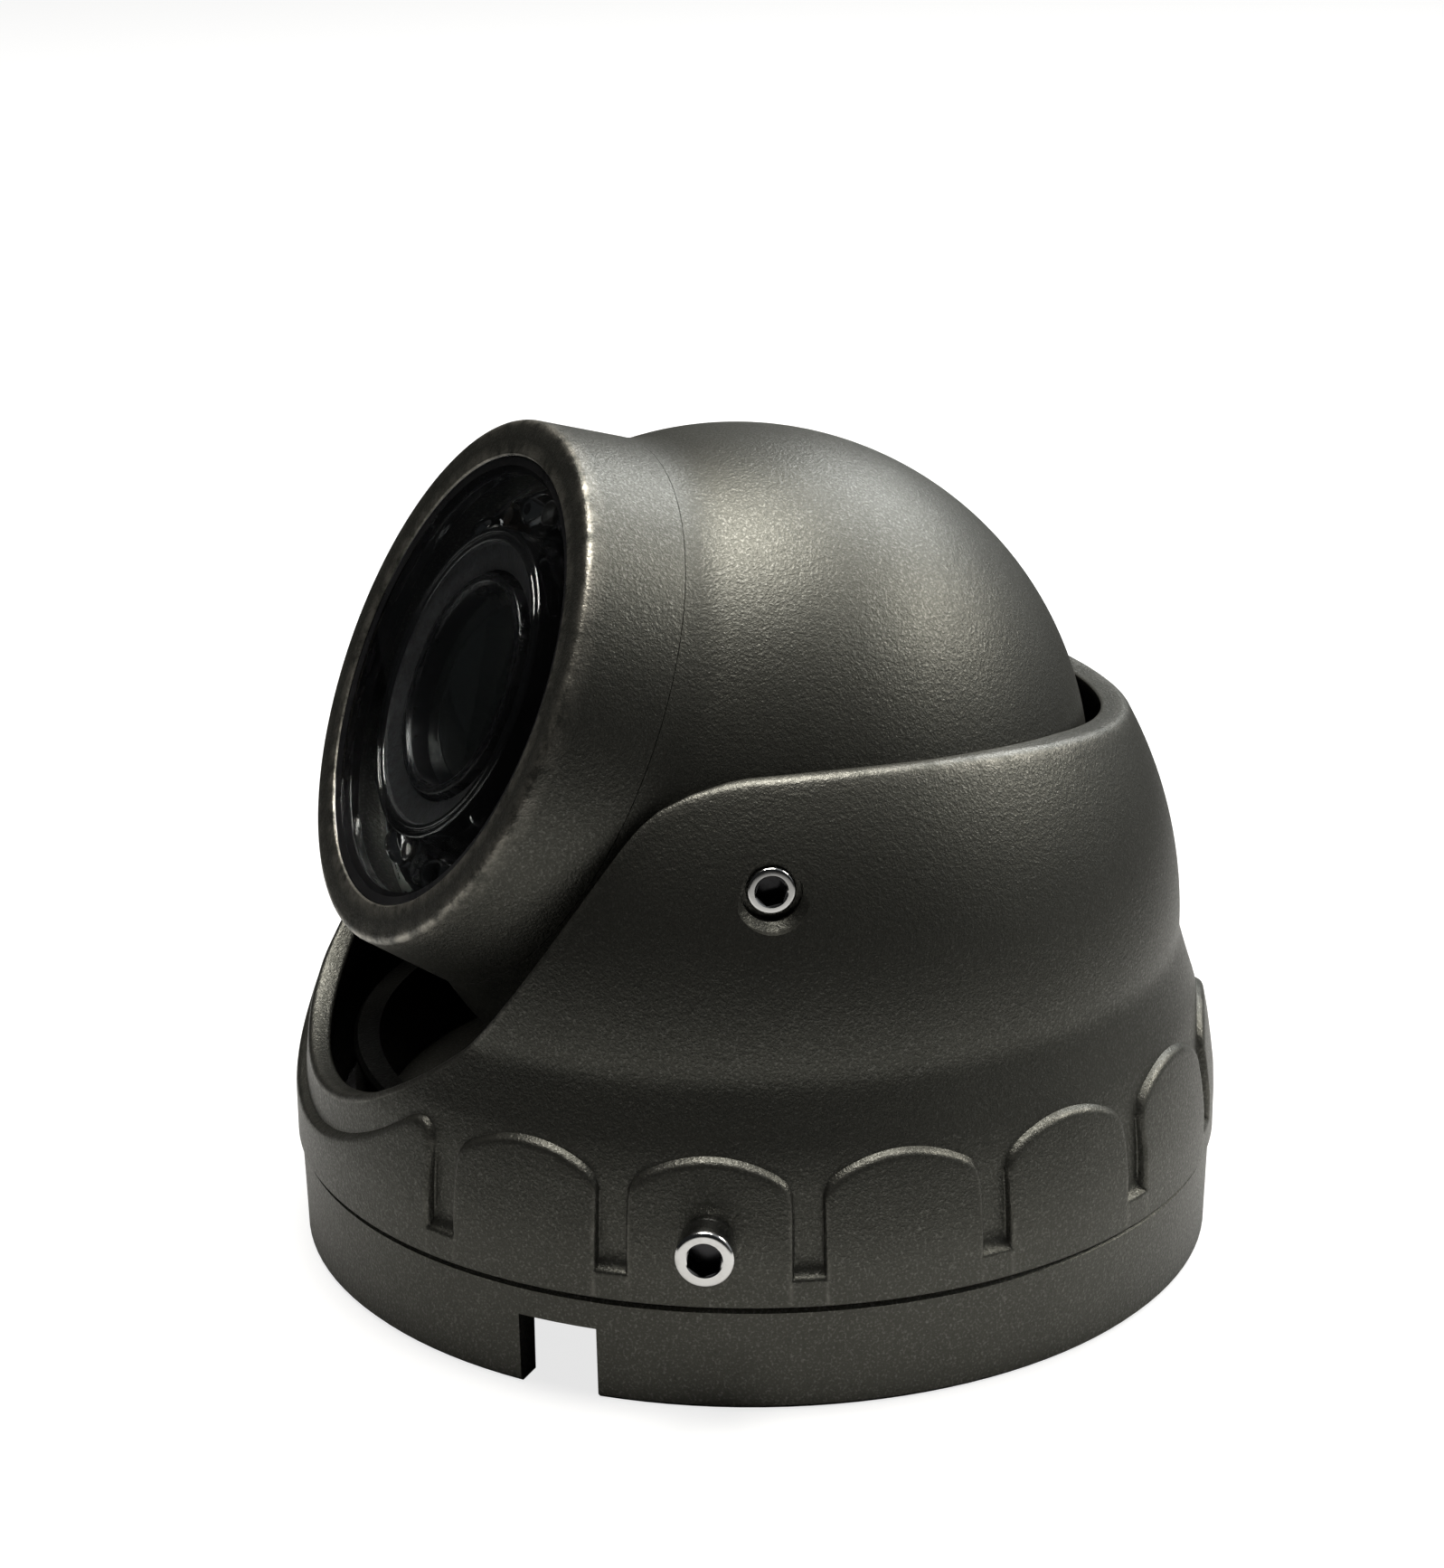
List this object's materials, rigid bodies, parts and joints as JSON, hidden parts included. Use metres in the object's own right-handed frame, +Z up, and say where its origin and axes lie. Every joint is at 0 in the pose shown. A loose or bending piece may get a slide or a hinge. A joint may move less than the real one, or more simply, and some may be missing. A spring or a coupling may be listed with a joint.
{
  "type": "eyeball dome camera",
  "caption": "Small metal dome camera: a snouted eyeball clamped in a ribbed cover that turns on a surface-mount base ring with a cable notch.",
  "frame": {"origin": "on the pan axis, in the plane of the base ring's bottom face, at the centre of its three fixing holes", "axes": "+Z up away from the mounting surface; -Y is the way the cover's opening faces at rest; +X to the right seen from behind the camera looking up -Y"},
  "size_m": [0.0958, 0.0949, 0.084],
  "materials": {
    "painted_base": "satin sparkle powder coat on a die casting",
    "felt": "felt",
    "painted_cover": "satin sparkle powder coat on a die casting",
    "bright_screw": "polished",
    "washer": "polished",
    "set_screw": "polished",
    "cradle": "moulded",
    "cradle_screw": "zinc plated",
    "cup": "moulded nylon",
    "friction_rubber": "matt",
    "painted_ball": "satin sparkle powder coat on a die casting",
    "painted_snout": "satin sparkle powder coat on a die casting",
    "glass": "clear",
    "seal_rubber": "matt",
    "bead_rubber": "gloss",
    "led_board": "black solder mask",
    "led": "clear resin",
    "light_sensor": "clear resin",
    "shield_rubber": "foam",
    "lens_barrel": "black anodised",
    "front_lens": "coated",
    "inner_lens": "coated",
    "lens_holder": "moulded",
    "ir_filter": "coated",
    "image_sensor": "ceramic package",
    "sensor_board": "green solder mask",
    "main_board": "green solder mask",
    "chips": "moulded",
    "socket": "moulded",
    "pins": "tinned",
    "standoff": "turned",
    "board_screw": "zinc plated",
    "board_frame": "machined",
    "grommet": "matt"
  },
  "bodies": {
    "base": {"base_ring": "painted_base", "felt_ring": "felt"},
    "cover": {"cover_housing": "painted_cover", "lock_screws": "bright_screw", "lock_washers": "washer", "set_screws": "set_screw", "cradle": "cradle", "cradle_screws": "cradle_screw"},
    "carrier": {"swing_cup": "cup", "friction_ring": "friction_rubber"},
    "eyeball": {"ball_shell": "painted_ball", "snout_shell": "painted_snout", "window_glass": "glass", "window_seal": "seal_rubber", "window_bead": "bead_rubber", "led_board": "led_board", "leds": "led", "light_sensor": "light_sensor", "light_shield": "shield_rubber", "lens_barrel": "lens_barrel", "front_element": "front_lens", "inner_element": "inner_lens", "lens_holder": "lens_holder", "ir_filter": "ir_filter", "image_sensor": "image_sensor", "sensor_board": "sensor_board", "main_board": "main_board", "board_chips": "chips", "cable_socket": "socket", "socket_pins": "pins", "standoffs": "standoff", "board_screws": "board_screw", "board_frame": "board_frame", "ball_grommet": "grommet"}
  },
  "joints": [
    {"name": "cover_pan", "type": "hinge", "parent": "base", "child": "cover", "pos_m": [0, 0, 0.0162], "axis": [0, 0, 1], "range_deg": [-180, 180]},
    {"name": "eyeball_swing", "type": "hinge", "parent": "cover", "child": "carrier", "pos_m": [0, -0.0018, 0.0463], "axis": [0, 0, 1], "range_deg": [-14, 1]},
    {"name": "eyeball_tilt", "type": "hinge", "parent": "carrier", "child": "eyeball", "pos_m": [0, -0.0018, 0.0463], "axis": [-0.9936, -0.1132, 0], "range_deg": [-17, 65]}
  ]
}
